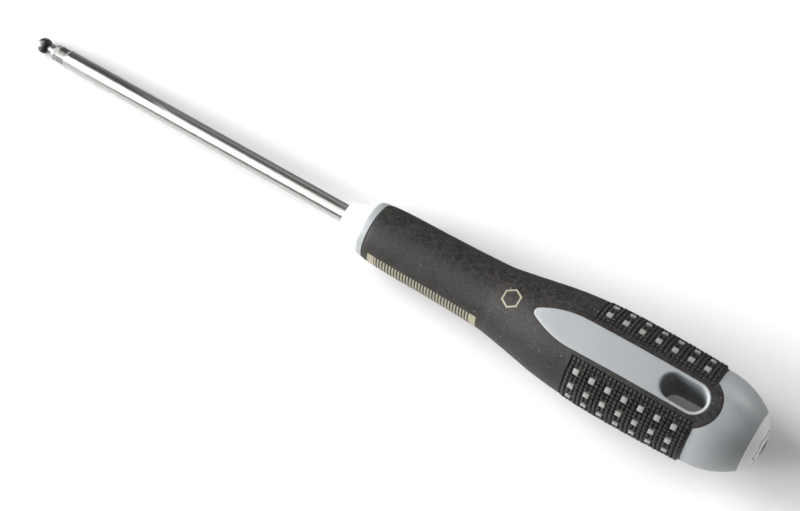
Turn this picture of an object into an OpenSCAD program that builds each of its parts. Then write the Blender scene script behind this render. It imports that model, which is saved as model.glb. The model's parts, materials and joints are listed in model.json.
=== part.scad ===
// Ball-end hexagon screwdriver: a steel blade moulded into a three-shot handle with an end cap.
// The tool's own axis is X while it is built: 0 at the nose's front face, minus to the
// blade's tip, plus to the butt. The inlays look up and down and the panels left and right.
// lay_down() then lays the finished tool on the plane Z = 0, resting on its ball tip and on
// the lower inlay, with the middle of its length over the origin.

/* [Blade] */
// Blade length ahead of the handle's nose
blade_len = 100; // [60:1:160]
// Diameter of the round shaft
shaft_d = 5; // [4.8:0.1:6.5]
// Width of the hexagon drive across its flats
hex_af = 4; // [3.2:0.1:4.1]
// Distance from the tip to the end of the hexagon's flats
hex_len = 9.3; // [8:0.1:14]
// Diameter of the ball at the tip
ball_d = 4.3; // [4.1:0.05:4.5]
// Distance from the tip's flat front to the middle of the ball
ball_front = 1.7; // [1.4:0.1:1.9]
// Diameter of the neck behind the ball
neck_d = 3; // [2.2:0.1:3.1]
// Length of the straight neck behind the ball
neck_len = 1.5; // [0.3:0.1:1.8]
// Half angle of the cones that end the neck and the hexagon
tip_cone = 35; // [25:1:45]

/* [Hidden end of the blade] */
// Length of blade moulded into the handle
tang_len = 58; // [40:1:60]
// Width of the blade's shoulder, which seats on the nose's front face
shoulder_w = 0.2; // [0.2:0.05:0.5]
// Distance of the pressed wings from the blade's hidden end
wing_back = 5; // [3:0.5:10]
// Length of the wings along the blade
wing_len = 9; // [5:0.5:12]
// Span of the wings
wing_span = 7.6; // [6.6:0.1:8.4]
// Thickness of the wings
wing_t = 2.4; // [1.5:0.1:3.5]

/* [Core] */
// Length of the nose that stands ahead of the collar
nose_len = 6.8; // [4:0.1:9]
// Diameter of the nose's front face
nose_front_d = 8.2; // [7.6:0.1:9]
// Diameter of the nose at the collar
nose_rear_d = 12.2; // [11:0.1:12.8]
// Edge radius of the nose's front face
nose_edge = 0.9; // [0.3:0.1:1.2]
// Diameter of the core inside the handle
core_d = 10.4; // [9:0.1:10.8]
// Length of core behind the blade's hidden end
core_wall = 4; // [2:0.5:8]

/* [Handle lengths, from the nose to the butt] */
// Width of the bare collar ahead of the grip
collar_w = 2.3; // [1.5:0.1:4]
// Length from the collar's front to the start of the flare
slim_len = 38.7; // [30:0.1:50]
// Length of the flare, up to the textured panels
flare_len = 26; // [20:0.5:34]
// Length of the textured panels
panel_len = 34.1; // [34:0.1:42]
// Distance of the thickest place from the panels' front edge
belly_back = 14.5; // [10:0.5:20]
// Gap between the panels and the dome
dome_gap = 0.6; // [0.4:0.1:2]
// Length of the dome
dome_len = 12.7; // [10:0.1:13.5]
// Height of the end cap's shallow face
end_rise = 3.1; // [1.5:0.1:4]

/* [Handle diameters] */
// Diameter of the collar's front edge
collar_d = 14.9; // [14.4:0.1:16]
// Edge radius of the collar
collar_edge = 0.8; // [0.3:0.1:1]
// Diameter at the middle of the slim part
slim_d = 16.7; // [16:0.1:18]
// Diameter where the flare starts
knee_d = 18.2; // [17.4:0.1:19]
// Diameter at the middle of the flare
flare_d = 22.9; // [21:0.1:24.5]
// Largest diameter of the smooth handle
belly_d = 27.35; // [26:0.05:28]
// Diameter of the dome where it starts
dome_d = 25.5; // [24:0.1:26.2]
// Radius of the dome's side
dome_r = 20; // [17:0.5:26]
// Depth of the flats along the inlays
flat_depth = 0.45; // [0.2:0.05:0.8]

/* [Handle slopes, in radius over length] */
// Slope behind the collar's edge
collar_slope = 0.18; // [0.1:0.01:0.22]
// Slope at the middle of the slim part
slim_slope = 0.012; // [0:0.002:0.03]
// Slope just ahead of the place where the flare starts
knee_slope = 0.055; // [0.02:0.005:0.08]
// Slope just behind the place where the flare starts
flare_start_slope = 0.165; // [0.1:0.005:0.2]
// Slope at the middle of the flare
flare_slope = 0.195; // [0.15:0.005:0.25]
// Slope down to the dome
dome_slope = 0.06; // [0.02:0.01:0.1]

/* [End cap] */
// Diameter of the plug that holds the cap
plug_d = 11; // [8:0.5:14]
// Length of the plug
plug_len = 6; // [3:0.5:6]

/* [Soft grip] */
// Thickness of the grip on the slim part
grip_t = 1.4; // [1:0.1:1.6]
// Thickness of the grip under the textured panels
panel_t = 1.9; // [1.4:0.1:2.2]
// Height of the stud tops over the smooth handle at the panels' front edge
front_rise = 0.15; // [0.05:0.05:0.4]
// Height of the stud tops over the smooth handle at the thickest place
belly_rise = 0.15; // [0.05:0.05:0.5]
// Height of the stud tops over the smooth handle at the panels' rear edge
rear_rise = 0.59; // [0.3:0.01:0.8]
// Slope of the stud tops at the panels' front edge
panel_front_slope = 0.1; // [0:0.01:0.15]
// Slope of the stud tops down to the panels' rear edge
panel_rear_slope = 0.04; // [0:0.01:0.08]
// Spacing of the studs along the handle
stud_pitch = 1.14; // [1:0.01:1.16]
// Angle between the rows of studs around the handle
stud_angle = 5.1; // [4.8:0.1:5.2]
// Rows of studs around each panel
stud_rows = 26; // [24, 26]
// Smooth margin ahead of the first column of studs
stud_margin = 0.3; // [0.1:0.1:1]

/* [Windows in the panels] */
// Side of each square window
window_w = 1.55; // [1.2:0.05:1.9]
// Depth of a window's floor below the stud tops
window_depth = 0.05; // [0.05:0.05:0.6]
// Windows along each panel
window_columns = 7; // [1:1:7]
// Windows around each panel
window_rows = 6; // [2, 4, 6]
// Studs from one window to the next, both ways
window_step = 4; // [3, 4]

/* [Inlays and hanging slot] */
// Length of each inlay
inlay_len = 49; // [40:0.5:52]
// Width of the inlays
inlay_w = 8.5; // [8.2:0.1:9.4]
// Length of the inlays' pointed front
inlay_point = 12.5; // [9:0.5:14]
// Radius of the inlays' rounded tip
inlay_tip_r = 1.3; // [0.8:0.1:2]
// Length of the hanging slot at its mouths
slot_len = 12; // [9:0.1:13]
// Width of the hanging slot at its mouths
slot_w = 6.7; // [6:0.1:7.2]
// Width of the hanging slot half way through
slot_waist = 6.1; // [5.2:0.1:6.6]
// Distance of the slot's rear end ahead of the dome
slot_back = 0.7; // [0.3:0.1:3]
// Width of the black border round the slot's rear end
border_w = 3.15; // [2.4:0.05:3.4]

/* [Hidden] */
fine = 96;      // facets of a full circle
band = 2;       // largest length of one band of the outline
over = 1;       // how far a cutter runs past what it cuts
big = 40;       // wider than the handle

// The blade: a hexagon with a ball end, and a round shaft.
hex_corner_r = hex_af / sqrt(3);
ball_r = ball_d / 2;
ball_s = -blade_len + ball_front;
neck_s = ball_s + sqrt(ball_r^2 - (neck_d / 2)^2) + neck_len;
hex_end_s = -blade_len + hex_len;
shaft_s = hex_end_s + (shaft_d - hex_af) / 2 / tan(tip_cone);
tang_d = shaft_d - 2 * shoulder_w;
wing_s = tang_len - wing_back - wing_len;

// The core reaches past the blade, and the handle is moulded round it.
core_len = tang_len + core_wall;

// Places along the handle.
collar_s = nose_len;
grip_s = collar_s + collar_w;
knee_s = collar_s + slim_len;
slim_s = (grip_s + knee_s) / 2 - collar_s;
flare_s = knee_s + flare_len / 2;
panel_s = knee_s + flare_len;
belly_s = panel_s + belly_back;
panel_end = panel_s + panel_len;
dome_s = panel_end + dome_gap;
end_s = dome_s + dome_len;
tool_end = end_s + end_rise;

// The panels and what lines up with them: a window takes the place of two by two studs.
panel_span = stud_angle * stud_rows;
window_pitch = stud_pitch * window_step;
window_angle = stud_angle * window_step;
window_s = panel_s + stud_margin + 2 * stud_pitch;

// The slot and the inlay share the middle of their round rear ends.
slot_rear = dome_s - slot_back - slot_w / 2;
slot_front = slot_rear - slot_len + slot_w;
inlay_s = slot_rear + inlay_w / 2 - inlay_len;
border_r = inlay_w / 2 + border_w;
border_end = slot_rear + border_r;
inside_r = slim_d / 4;      // a radius well inside the grip

// Stations of the outline: [place, radius, slope before it, slope after it].
base_stations = [
    [collar_s, collar_d / 2, 0, collar_slope],
    [slim_s, slim_d / 2, slim_slope, slim_slope],
    [knee_s, knee_d / 2, knee_slope, flare_start_slope],
    [flare_s, flare_d / 2, flare_slope, flare_slope],
    [belly_s, belly_d / 2, 0, 0],
    [dome_s, dome_d / 2, -dome_slope, 0]
];
panel_stations = [
    [panel_s, base_radius(panel_s) + front_rise, 0, panel_front_slope],
    [belly_s, base_radius(belly_s) + belly_rise, 0, 0],
    [panel_end, base_radius(panel_end) + rear_rise, -panel_rear_slope, 0]
];

// Cubic curve that leaves a and reaches b with their slopes.
function curve_at(s, a, b) =
    let (l = b[0] - a[0], t = (s - a[0]) / l)
    (2 * t^3 - 3 * t^2 + 1) * a[1] + (t^3 - 2 * t^2 + t) * l * a[3]
    + (3 * t^2 - 2 * t^3) * b[1] + (t^3 - t^2) * l * b[2];

function radius_at(s, stations, i = 0) =
    i >= len(stations) - 2 || s <= stations[i + 1][0]
    ? curve_at(s, stations[i], stations[i + 1])
    : radius_at(s, stations, i + 1);

function dome_radius(s) = dome_d / 2 - dome_r + sqrt(dome_r^2 - (s - dome_s)^2);

function base_radius(s) = s > dome_s ? dome_radius(s) : radius_at(s, base_stations);

function panel_radius(s) = radius_at(s, panel_stations);

// Evenly spaced places from a to b, both included.
function places(a, b) =
    let (n = ceil((b - a) / band))
    [for (i = [0 : n]) a + (b - a) * i / n];

// Places along the whole outline, with one at each station.
outline_places = concat(
    places(collar_s + collar_edge, knee_s),
    [for (s = places(knee_s, panel_s)) if (s > knee_s) s],
    [for (s = places(panel_s, dome_s)) if (s > panel_s) s],
    [for (s = places(dome_s, end_s)) if (s > dome_s) s]
);

// Half the height over the inlays: the flats grow from the inlay's tip to the end of its point,
// and run out on the dome, behind the border.
function flat_share(s) =
    max(0, min(1, (s - inlay_s) / inlay_point, (end_s - s) / (end_s - border_end)));

function flat_height(s) = base_radius(s) - flat_depth * flat_share(s);

// How far the tool tips forward. The floor touches the lower flat, and in front the ball's lower
// facet, or the start of a shaft thick enough to reach it first.
touch_s = ball_s - sqrt(ball_r^2 - (hex_af / 2)^2);
front_points = [[touch_s, hex_af / 2], [shaft_s, shaft_d / 2]];
tilt = min([for (f = front_points)
    max([for (s = outline_places) atan2(flat_height(s) - f[1], s - f[0])])]);
rest_z = max([for (f = front_points) f[1] * cos(tilt) - f[0] * sin(tilt)]);
rest_x = (blade_len - tool_end) / 2 * cos(tilt);

module lay_down() {
    translate([rest_x, 0, rest_z])
        rotate([0, -tilt, 0])
            children();
}

// Turns a profile of [radius, place] points about the tool's axis.
module turned(points) {
    rotate([0, 90, 0])
        rotate_extrude($fn = fine)
            polygon(points);
}

// A plain length of rod along the tool's axis.
module rod(from, to, d1, d2) {
    translate([from, 0, 0])
        rotate([0, 90, 0])
            cylinder(h = to - from, d1 = d1, d2 = d2, $fn = fine);
}

// ---------------------------------------------------------------- blade

// Round envelope of the drive: a ball cut flat in front, its neck, and a cone up past the corners.
module tip_envelope() {
    cone_run = (shaft_d - neck_d) / 2 / tan(tip_cone);
    steps = 12;
    from = acos(-ball_front / ball_r);
    to = asin(neck_d / 2 / ball_r);
    turned([
        [0, -blade_len],
        for (k = [0 : steps])
            let (a = from + (to - from) * k / steps)
            [ball_r * sin(a), ball_s + ball_r * cos(a)],
        [neck_d / 2, neck_s],
        [shaft_d / 2, neck_s + cone_run],
        [shaft_d / 2, hex_end_s + over],
        [0, hex_end_s + over]
    ]);
}

// The cone that runs out over the hexagon's flats, the round shaft behind it, and the tang.
// The cone starts inside the hexagon, so that it leaves the flats in clean curves.
module shaft() {
    sunk = 0.4;
    rod(hex_end_s - sunk / tan(tip_cone), shaft_s, hex_af - 2 * sunk, shaft_d);
    rod(shaft_s, 0, shaft_d, shaft_d);
    rod(0, tang_len, tang_d, tang_d);
}

module wings() {
    translate([wing_s, -wing_span / 2, -wing_t / 2])
        cube([wing_len, wing_span, wing_t]);
}

module blade_solid() {
    intersection() {
        translate([-blade_len - over, 0, 0])
            rotate([0, 90, 0])
                rotate([0, 0, 30])
                    cylinder(h = hex_len + 2 * over, r = hex_corner_r, $fn = 6);
        tip_envelope();
    }
    shaft();
    wings();
}

module blade() {
    color("silver")
        blade_solid();
}

// ---------------------------------------------------------------- inner core

module core_envelope() {
    turned([
        [0, 0],
        [nose_front_d / 2 - nose_edge, 0],
        for (a = [15 : 15 : 75])
            [nose_front_d / 2 - nose_edge * (1 - sin(a)), nose_edge * (1 - cos(a))],
        [nose_front_d / 2, nose_edge],
        [nose_rear_d / 2, collar_s],
        [nose_rear_d / 2, collar_s + collar_w / 2],
        [core_d / 2, collar_s + collar_w / 2],
        [core_d / 2, core_len],
        [0, core_len]
    ]);
}

module inner_core() {
    color("white")
        difference() {
            core_envelope();
            blade_solid();
        }
}

// ---------------------------------------------------------------- handle body

// The whole smooth handle as a turned solid, from the collar to the end cap's seat.
module handle_turned() {
    turned([
        [0, collar_s],
        for (a = [0 : 15 : 75])
            [base_radius(collar_s) - collar_edge * (1 - sin(a)), collar_s + collar_edge * (1 - cos(a))],
        for (s = outline_places) [base_radius(s), s],
        [0, end_s]
    ]);
}

// Keeps what lies between the upper and the lower flat.
module between_flats() {
    rotate([90, 0, 0])
        linear_extrude(height = big, center = true)
            polygon(concat(
                [[-over, -big / 2], [-over, big / 2], [inlay_s, big / 2]],
                [for (s = outline_places) if (s > inlay_s) [s, flat_height(s)]],
                [[tool_end + over, flat_height(end_s)], [tool_end + over, -flat_height(end_s)]],
                [for (i = [len(outline_places) - 1 : -1 : 0])
                    if (outline_places[i] > inlay_s) [outline_places[i], -flat_height(outline_places[i])]],
                [[inlay_s, -big / 2]]
            ));
}

// The smooth handle without its panels, as one solid.
module smooth_handle() {
    intersection() {
        handle_turned();
        between_flats();
    }
}

// Plan of an inlay: rounded tip, pointed front, straight sides and a half-round rear end.
module inlay_plan() {
    half = inlay_w / 2;
    steps = 8;
    tip_end = 117.5;
    tip = [for (a = [180 : -12.5 : tip_end])
        [inlay_s + inlay_tip_r * (1 + cos(a)), inlay_tip_r * sin(a)]];
    side = [for (k = [0 : steps])
        let (t = k / steps, from = tip[len(tip) - 1])
        [from[0] + (inlay_s + inlay_point - from[0]) * t,
         from[1] + (half - from[1]) * (1 - (1 - t)^2)]];
    rear = [for (a = [75 : -15 : 0]) [slot_rear + half * cos(a), half * sin(a)]];
    upper = concat(tip, [for (k = [1 : steps]) side[k]], [[slot_rear, half]], rear);
    polygon(concat(upper, [for (i = [len(upper) - 2 : -1 : 1]) [upper[i][0], -upper[i][1]]]));
}

module inlay_cut() {
    linear_extrude(height = big, center = true)
        inlay_plan();
}

// Half of the slot's cutter: two cones and a wedge between them, wide at the mouth.
module slot_half() {
    mouth_z = belly_d / 2;
    top = mouth_z + over;
    top_r = slot_waist / 2 + (slot_w - slot_waist) / 2 * top / mouth_z;
    for (x = [slot_front, slot_rear])
        translate([x, 0, 0])
            cylinder(h = top, r1 = slot_waist / 2, r2 = top_r, $fn = fine);
    translate([slot_front, 0, 0])
        rotate([90, 0, 90])
            linear_extrude(height = slot_rear - slot_front)
                polygon([[-slot_waist / 2, 0], [slot_waist / 2, 0], [top_r, top], [-top_r, top]]);
}

module slot() {
    slot_half();
    mirror([0, 0, 1])
        slot_half();
}

// Square posts at the windows, from depth below the smooth handle to a height over the stud tops.
module window_posts(below, above) {
    for (c = [0 : window_columns - 1]) {
        s = window_s + c * window_pitch;
        foot = base_radius(s) - below;
        head = panel_radius(s) + above;
        for (r = [0 : window_rows - 1], side = [0, 180])
            rotate([-90 - (r - (window_rows - 1) / 2) * window_angle + side, 0, 0])
                translate([s - window_w / 2, -window_w / 2, foot])
                    cube([window_w, window_w, head - foot]);
    }
}

module handle_body() {
    color([0.74, 0.77, 0.78]) {
        difference() {
            smooth_handle();
            grip_block();
            core_envelope();
            slot();
            end_plug();
        }
        window_posts(panel_t + over, -window_depth);
    }
}

// ---------------------------------------------------------------- end cap

module end_plug() {
    rod(end_s - plug_len, end_s + over, plug_d, plug_d);
}

// The shallow face: a parabola over the handle's end, with its plug in front.
module end_cap() {
    steps = 8;
    color("white")
        turned([
            [0, end_s - plug_len],
            [plug_d / 2, end_s - plug_len],
            [plug_d / 2, end_s],
            for (k = [0 : steps])
                [base_radius(end_s) * (1 - k / steps), end_s + end_rise * (1 - (1 - k / steps)^2)]
        ]);
}

// ---------------------------------------------------------------- soft grip

// Thickness of the grip: thin on the slim part, full under the panels.
function grip_thickness(s) =
    grip_t + (panel_t - grip_t) * max(0, min(1, (s - knee_s) / (panel_s - knee_s)));

// What the grip is moulded on.
module under_grip() {
    turned([
        [0, grip_s - over],
        [base_radius(grip_s) - grip_t, grip_s - over],
        for (s = outline_places) if (s > grip_s) [base_radius(s) - grip_thickness(s), s],
        [0, end_s]
    ]);
}

// The smooth sleeve from the collar to the panels' rear edge.
module sleeve() {
    rod(grip_s, panel_end, big, big);
}

// The round border that reaches past the panels behind the slot.
module slot_border() {
    translate([slot_rear, 0, 0])
        cylinder(h = big, r = border_r, center = true, $fn = fine);
}

// The two proud panels, one on each side.
module panels() {
    for (side = [0, 180])
        rotate([side, 0, 0])
            rotate([0, 90, 0])
                rotate([0, 0, 90 - panel_span / 2])
                    rotate_extrude(angle = panel_span, $fn = fine)
                        polygon([
                            [inside_r, panel_s],
                            for (s = places(panel_s, panel_end)) [panel_radius(s), s],
                            [inside_r, panel_end]
                        ]);
}

// The whole grip before its windows are cut.
module grip_block() {
    difference() {
        union() {
            intersection() {
                smooth_handle();
                union() {
                    sleeve();
                    slot_border();
                }
            }
            panels();
        }
        under_grip();
        inlay_cut();
    }
}

module grip() {
    color([0.22, 0.22, 0.21])
        difference() {
            grip_block();
            window_posts(panel_t + over, over);
        }
}

lay_down() blade();
lay_down() inner_core();
lay_down() handle_body();
lay_down() grip();
lay_down() end_cap();
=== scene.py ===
"""Ball-end hexagon screwdriver: its looks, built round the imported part."""

import json
import math
from functools import partial

import bpy
import numpy as np
from bpy.props import FloatProperty, FloatVectorProperty, IntProperty, PointerProperty
from bpy.types import Operator, Panel, PropertyGroup
from mathutils import Matrix, Vector


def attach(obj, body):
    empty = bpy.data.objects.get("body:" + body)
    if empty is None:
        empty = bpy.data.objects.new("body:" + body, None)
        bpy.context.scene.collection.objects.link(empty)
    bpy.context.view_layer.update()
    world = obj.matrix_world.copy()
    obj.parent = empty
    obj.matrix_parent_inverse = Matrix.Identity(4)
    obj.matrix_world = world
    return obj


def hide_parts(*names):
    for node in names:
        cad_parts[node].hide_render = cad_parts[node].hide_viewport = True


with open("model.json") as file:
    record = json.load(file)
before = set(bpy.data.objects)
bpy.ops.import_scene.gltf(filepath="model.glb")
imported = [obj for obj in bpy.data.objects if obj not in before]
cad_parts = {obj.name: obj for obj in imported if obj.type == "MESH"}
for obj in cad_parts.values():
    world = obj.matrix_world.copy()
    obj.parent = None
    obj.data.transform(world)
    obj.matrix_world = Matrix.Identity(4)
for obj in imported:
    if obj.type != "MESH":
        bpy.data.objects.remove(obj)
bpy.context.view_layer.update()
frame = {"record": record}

bl_info = {
    "name": "Hexagon Screwdriver",
    "version": (1, 0, 0),
    "blender": (4, 5, 0),
    "location": "3D View > Sidebar > Driver",
    "description": "Builds a ball-end hexagon screwdriver round its packed part",
    "category": "Object",
}

MM = 0.001
INSIDE = 0.01 * MM  # the round skin lies this far inside the part's own facets
HAIR = 0.001 * MM  # half the distance between the two rows of a sudden step
SAME = 1e-9  # places that differ by less than this, in metres, are one place
LEAST = 1e-6  # keeps a divisor away from 0
MOUNTS = {mount["name"]: mount for mount in frame["record"]["mounts"]}


# ---------------------------------------------------------------- sizes and colours


def length(label, about, millimetres):
    """A size that is kept in metres and shown as a length."""
    size = millimetres * MM
    return FloatProperty(
        name=label, description=about, default=size, min=0.0, unit="LENGTH", precision=5
    )


def turn(label, about, degrees):
    """An angle that is kept in radians and shown in degrees."""
    return FloatProperty(
        name=label, description=about, default=math.radians(degrees), min=0.0, unit="ROTATION"
    )


def number(label, about, value):
    """A plain number."""
    return FloatProperty(name=label, description=about, default=value, precision=3)


def count(label, about, value):
    """A whole number of repeats."""
    return IntProperty(name=label, description=about, default=value, min=1)


def paint(label, about, red, green, blue):
    """A colour with a picker."""
    colour = (red, green, blue)
    return FloatVectorProperty(
        name=label, description=about, default=colour, subtype="COLOR", min=0.0, max=1.0
    )


class DriverBlade(PropertyGroup):
    """Sizes of the steel blade."""

    reach: length("Reach", "From the nose face to the tip", 100)
    shaft: length("Shaft", "Diameter of the round shaft", 5)
    flats: length("Hexagon", "Width across the hexagon's flats", 4)
    hexagon: length("Hexagon length", "From the tip to the end of the full hexagon", 9.3)
    corner: length("Broken corner", "How far the hexagon's corners are broken", 0.05)
    ball: length("Ball", "Diameter of the ball over the corners", 4.3)
    ball_front: length("Ball front", "From the front face to the middle of the ball", 1.7)
    ball_edge: length("Ball edge", "Rounding of the front face's edge", 0.12)
    neck: length("Neck", "Diameter of the neck behind the ball", 3.0)
    neck_length: length("Neck length", "Length of the straight neck", 1.5)
    cone: turn("Cone", "Slope of the cones behind the neck and the hexagon", 35)
    tang: length("Tang", "Diameter of the blade inside the handle", 4.6)
    tang_length: length("Tang length", "Length of the blade inside the handle", 58)
    wing_back: length("Wing place", "From the wings to the tang's end", 5)
    wing_length: length("Wing length", "Length of the pressed wings", 9)
    wing_span: length("Wing span", "Width over the pressed wings", 7.6)
    wing_thickness: length("Wing thickness", "Thickness of the pressed wings", 2.4)


class DriverHandle(PropertyGroup):
    """Sizes of the white nose, the smooth handle and the end cap."""

    nose_length: length("Nose length", "From the nose face to the collar", 6.8)
    nose_front: length("Nose front", "Diameter of the nose face", 8.2)
    nose_rear: length("Nose rear", "Diameter of the nose at the collar", 12.2)
    nose_edge: length("Nose edge", "Rounding of the nose face's edge", 0.9)
    nose_lip: length("Nose lip", "Countersink round the blade", 0.18)
    core: length("Core", "Diameter of the core inside the handle", 10.4)
    core_wall: length("Core end", "Thickness of the core behind the tang", 4)
    collar_width: length("Collar width", "Length of the grey collar", 2.3)
    collar: length("Collar", "Diameter of the collar", 14.9)
    collar_edge: length("Collar edge", "Rounding of the collar's front edge", 0.8)
    slim_length: length("Slim length", "From the collar's front to the knee", 38.7)
    slim: length("Slim", "Diameter of the slim part", 16.7)
    knee: length("Knee", "Diameter at the knee", 18.2)
    flare_length: length("Flare length", "From the knee to the panels", 26)
    flare: length("Flare", "Diameter half way along the flare", 22.9)
    panel_length: length("Panel length", "Length of the textured panels", 34.1)
    belly_back: length("Belly place", "From the panels' front to the belly", 14.5)
    belly: length("Belly", "Diameter of the belly", 27.35)
    dome_gap: length("Dome gap", "From the panels' rear edge to the dome", 0.6)
    dome_length: length("Dome length", "Length of the dome", 12.7)
    dome: length("Dome", "Diameter of the dome's front", 25.5)
    dome_round: length("Dome round", "Radius of the dome's arc", 20)
    dome_edge: length("Dome edge", "Rounding of the dome's rear edge", 0.25)
    end_rise: length("End rise", "Height of the end cap's face", 3.1)
    plug: length("Plug", "Diameter of the end cap's plug", 11)
    plug_length: length("Plug length", "Length of the end cap's plug", 6)
    flat_depth: length("Flat depth", "How far the flats lie below the round handle", 0.45)
    flat_blend: length("Flat blend", "Width of the blend between a flat and the round", 0.3)
    collar_slope: number("Collar slope", "Rise behind the collar", 0.18)
    slim_slope: number("Slim slope", "Rise along the slim part", 0.012)
    knee_slope: number("Knee slope", "Rise in front of the knee", 0.055)
    flare_start: number("Flare start", "Rise behind the knee", 0.165)
    flare_slope: number("Flare slope", "Rise half way along the flare", 0.195)
    dome_slope: number("Dome slope", "Fall in front of the dome", 0.06)


class DriverInlay(PropertyGroup):
    """Sizes of the inlays, the hanging slot and the windows."""

    reach: length("Inlay length", "Length of an inlay", 49)
    width: length("Inlay width", "Width of an inlay", 8.5)
    point: length("Point", "Length of the inlay's pointed front", 12.5)
    tip: length("Tip", "Radius of the inlay's tip", 1.3)
    tip_angle: turn("Tip angle", "Where the tip's arc ends, from the tool's axis", 117.5)
    edge: length("Inlay edge", "Rounding of the inlay's edge", 0.12)
    depth: length("Inlay depth", "Thickness of the inlay's edge inside the grip", 1.2)
    slot_length: length("Slot length", "Length of the hanging slot", 12)
    slot_width: length("Slot width", "Width of the slot at its mouths", 6.7)
    slot_waist: length("Slot waist", "Width of the slot half way through", 6.1)
    slot_back: length("Slot place", "From the slot's rear end to the dome", 0.7)
    rim: length("Rim", "Rounding of the slot's rim", 0.75)
    border: length("Border", "Width of the soft border round the inlay's rear end", 3.15)
    window: length("Window", "Width of a square window", 1.55)
    window_depth: length("Window depth", "How far a window lies below the stud tops", 0.05)
    window_edge: length("Window edge", "Rounding of a window's edge", 0.06)
    window_columns: count("Window columns", "Windows along a panel", 7)
    window_rows: count("Window rows", "Windows across a panel", 6)
    window_step: count("Window step", "Studs from one window to the next", 4)


class DriverGrip(PropertyGroup):
    """Sizes of the soft grip."""

    thickness: length("Thickness", "Thickness of the grip on the slim part", 1.4)
    panel_thickness: length("Panel thickness", "Thickness of the grip under the panels", 1.9)
    front_rise: length("Front rise", "Height of the stud tops at the panel's front", 0.15)
    belly_rise: length("Belly rise", "Height of the stud tops at the belly", 0.15)
    rear_rise: length("Rear rise", "Height of the stud tops at the panel's rear", 0.59)
    front_slope: number("Front slope", "Rise of the stud tops at the panel's front", 0.1)
    rear_slope: number("Rear slope", "Fall of the stud tops at the panel's rear", 0.04)
    shoulder: length("Shoulder", "Length of the rounded front shoulder", 0.9)
    shoulder_drop: length("Shoulder drop", "Depth of the rounded front shoulder", 0.4)
    edge: length("Edge", "Rounding of the grip's other edges", 0.14)
    pitch: length("Stud pitch", "From one stud to the next, lengthwise", 1.14)
    stud_angle: turn("Stud angle", "From one stud to the next, crosswise", 5.1)
    stud_rows: count("Stud rows", "Studs across a panel", 26)
    stud_columns: count("Stud columns", "Studs along a panel", 29)
    stud_height: length("Stud height", "From the floor between the studs to their tops", 0.6)
    margin: length("Stud margin", "From the panel's front edge to the first stud", 0.3)
    seam: length("Seam", "How far the hard plastic lies below the soft grip", 0.04)


class DriverFinish(PropertyGroup):
    """Colours of the materials."""

    steel: paint("Steel", "Ground steel", 0.60, 0.595, 0.58)
    # painted dark reflection on the tip: dark colour standing in for the dark surroundings the
    # steel mirrors
    painted_dark_reflection: paint("Oxide", "Dark finish of the tip", 0.055, 0.052, 0.050)
    white: paint("White", "Nose and end cap", 0.92, 0.925, 0.90)
    grey: paint("Grey", "Collar, inlays and dome", 0.355, 0.374, 0.385)
    # the grey plastic made darker: painted shade between the studs
    window: paint("Window", "The same plastic at the bottom of the windows", 0.322, 0.316, 0.306)
    rubber: paint("Rubber", "Soft grip", 0.021, 0.019, 0.0172)
    dust: paint("Dust", "Light specks on the soft grip", 0.30, 0.29, 0.27)
    print: paint("Print", "Pale print on the soft grip", 0.37, 0.345, 0.25)
    ink: paint("Ink", "Dark print on the end cap", 0.03, 0.03, 0.03)
    floor: paint("Floor", "Pale floor", 0.92, 0.92, 0.92)


class DriverStage(PropertyGroup):
    """The lights and the camera."""

    lens: number("Lens", "Focal length of the camera in millimetres", 91.702)
    level: number("Level", "Strength of all the soft lights", 0.87)
    sky: number("Sky", "Strength of the light from all round", 0.04)
    lift: number("Lift", "Brightness that the floor adds for the camera", 0.12)


# ---------------------------------------------------------------- shape


def smaller(a, b, blend):
    """The smaller of a and b, rounded off where they come closer than blend: less h * h * blend /
    4, h = 1 - |a - b| / blend.
    """
    near = np.clip(blend - np.abs(a - b), 0, None)
    return np.minimum(a, b) - near**2 / (4 * blend)


def larger(a, b, blend):
    """The larger of a and b, rounded off in the same way."""
    return -smaller(-a, -b, blend)


def rounded(distance, run, depth):
    """Drop of a rounded edge: depth at distance 0, along a quarter ellipse to nothing at distance
    run.
    """
    t = 1 - np.clip(distance / run, 0, 1)
    return depth * (1 - np.sqrt(1 - t**2))


def ease(t):
    """Smooth step from 0 to 1: 3 t^2 - 2 t^3 with t held between 0 and 1."""
    t = np.clip(t, 0, 1)
    return t * t * (3 - 2 * t)


def circle(radius, distance):
    """Half the width of a circle at a distance from its middle: the root of radius^2 - distance^2,
    and 0 outside the circle.
    """
    return np.sqrt(np.clip(radius**2 - distance**2, 0, None))


def past(s, place):
    """How far s lies behind a place, and 0 in front of it."""
    return np.clip(s - place, 0, None)


def in_order(*parts):
    """The places of all the parts, sorted, each place once."""
    return np.unique(np.round(np.concatenate(parts), 9))


def places(*spans):
    """Sorted places from spans of (start, end, how many), each place once."""
    return in_order(*(np.linspace(*span) for span in spans))


def quarter(steps):
    """Evenly spaced angles of a quarter turn."""
    return np.linspace(0, math.pi / 2, steps)


def full_circle(columns):
    """Evenly spaced angles of a full turn."""
    return np.linspace(0, 2 * math.pi, columns, endpoint=False)


def through(stations, s):
    """Radius at s of a curve through stations (place, radius, slope before, slope after): a cubic
    between neighbours that leaves and reaches them with their slopes.
    """
    place, radius, before, after = np.array(stations).T
    i = np.clip(np.searchsorted(place, s, side="right") - 1, 0, len(place) - 2)
    span = place[i + 1] - place[i]
    t = np.clip((s - place[i]) / span, 0, 1)
    ends = radius[i] * (1 + 2 * t) * (1 - t) ** 2 + radius[i + 1] * t**2 * (3 - 2 * t)
    return ends + span * t * (1 - t) * (after[i] * (1 - t) - before[i + 1] * t)


def at(s, distance, angle):
    """Points of the tool at place s along its axis, at a distance from the axis, at an angle from
    the upper inlay (0) towards +Y.
    """
    return np.stack(
        np.broadcast_arrays(s, distance * np.sin(angle), distance * np.cos(angle)), axis=-1
    )


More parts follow.
